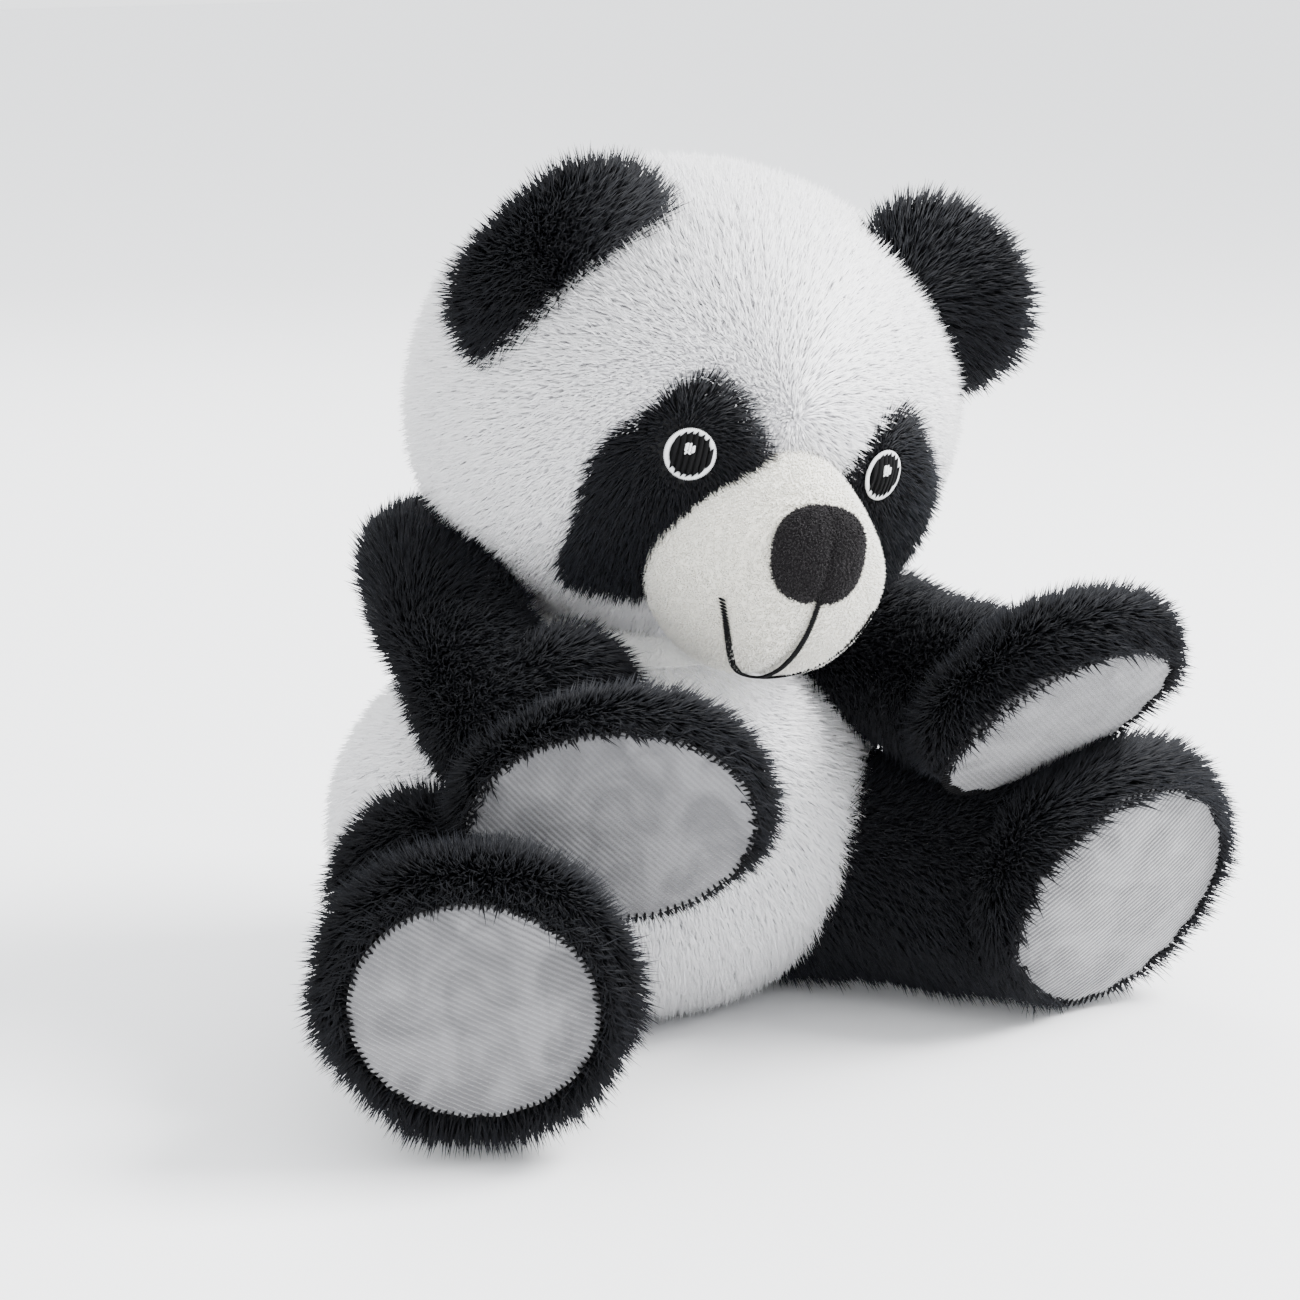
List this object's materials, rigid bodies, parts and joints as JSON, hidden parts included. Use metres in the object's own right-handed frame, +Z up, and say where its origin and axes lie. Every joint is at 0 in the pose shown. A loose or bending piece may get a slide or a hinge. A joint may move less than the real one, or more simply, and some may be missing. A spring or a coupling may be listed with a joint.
{
  "type": "plush panda",
  "caption": "Sitting stuffed panda with a large turning head, rounded ears, embroidered eyes, outstretched arms and legs with velour pads.",
  "frame": {"origin": "centre of the flat underside of the seat", "axes": "+Z up, the panda faces -Y, its left side is +X"},
  "size_m": [0.2829, 0.2173, 0.2468],
  "materials": {
    "white_plush": "short dense white plush, matte",
    "black_plush": "shaggy blue-black plush, matte with fine glints",
    "muzzle_velour": "ivory short-pile velour",
    "nose_fleece": "charcoal fleece",
    "pad_velour": "grey ribbed velour",
    "black_thread": "black satin-stitch embroidery thread",
    "white_thread": "white satin-stitch embroidery thread",
    "label_satin": "blank white satin ribbon",
    "stuffing": "white polyester fibre fill",
    "pouch_cloth": "plain cotton bag of plastic beans"
  },
  "bodies": {
    "torso": {"body_front_panel": "white_plush", "body_back_left_panel": "white_plush", "body_back_right_panel": "white_plush", "seat_panel": "white_plush", "body_stuffing": "stuffing", "bean_pouch": "pouch_cloth", "sewn_in_label": "label_satin"},
    "neck": {"neck_stuffing": "stuffing", "neck_seam_band": "white_plush"},
    "head": {"head_gusset": "white_plush", "head_left_panel": "white_plush", "head_right_panel": "white_plush", "head_stuffing": "stuffing", "muzzle_cover": "muzzle_velour", "muzzle_stuffing": "stuffing", "nose": "nose_fleece", "mouth_stitching": "black_thread", "right_eye_patch": "black_plush", "right_eye_ring": "white_thread", "right_eye_pupil": "black_thread", "right_eye_glint": "white_thread", "left_eye_patch": "black_plush", "left_eye_ring": "white_thread", "left_eye_pupil": "black_thread", "left_eye_glint": "white_thread"},
    "right_ear": {"right_ear_front": "black_plush", "right_ear_back": "black_plush"},
    "right_arm": {"right_arm_outer_panel": "black_plush", "right_arm_inner_panel": "black_plush", "right_arm_stuffing": "stuffing", "right_paw_pad": "pad_velour"},
    "right_leg": {"right_leg_outer_panel": "black_plush", "right_leg_inner_panel": "black_plush", "right_leg_stuffing": "stuffing", "right_sole_pad": "pad_velour"},
    "left_ear": {"left_ear_front": "black_plush", "left_ear_back": "black_plush"},
    "left_arm": {"left_arm_outer_panel": "black_plush", "left_arm_inner_panel": "black_plush", "left_arm_stuffing": "stuffing", "left_paw_pad": "pad_velour"},
    "left_leg": {"left_leg_outer_panel": "black_plush", "left_leg_inner_panel": "black_plush", "left_leg_stuffing": "stuffing", "left_sole_pad": "pad_velour"}
  },
  "joints": [
    {"name": "neck_turn", "type": "hinge", "parent": "torso", "child": "neck", "pos_m": [0.004, -0.008, 0.084], "axis": [0, 0, 1], "range_deg": [-12, 12]},
    {"name": "neck_nod", "type": "hinge", "parent": "neck", "child": "head", "pos_m": [0.004, -0.008, 0.084], "axis": [1, 0, 0], "range_deg": [-5, 3]},
    {"name": "right_shoulder", "type": "hinge", "parent": "torso", "child": "right_arm", "pos_m": [-0.062, 0.004, 0.091], "axis": [-0.766, 0, -0.6428], "range_deg": [0, 40]},
    {"name": "right_hip", "type": "hinge", "parent": "torso", "child": "right_leg", "pos_m": [-0.046, -0.014, 0.038], "axis": [0, 0, -1], "range_deg": [0, 14]},
    {"name": "right_ear_flex", "type": "hinge", "parent": "head", "child": "right_ear", "pos_m": [-0.03705, -0.03575, 0.21886], "axis": [0.7667, -0.2023, 0.6093], "range_deg": [-15, 15], "stiffness_Nm_per_rad": 0.02},
    {"name": "left_shoulder", "type": "hinge", "parent": "torso", "child": "left_arm", "pos_m": [0.062, 0.004, 0.091], "axis": [-0.5736, 0, 0.8192], "range_deg": [0, 28]},
    {"name": "left_hip", "type": "hinge", "parent": "torso", "child": "left_leg", "pos_m": [0.046, -0.014, 0.038], "axis": [0, 0, 1], "range_deg": [0, 14]},
    {"name": "left_ear_flex", "type": "hinge", "parent": "head", "child": "left_ear", "pos_m": [0.07671, -0.0463, 0.19877], "axis": [-0.5371, -0.0814, 0.8396], "range_deg": [-15, 15], "stiffness_Nm_per_rad": 0.02}
  ]
}
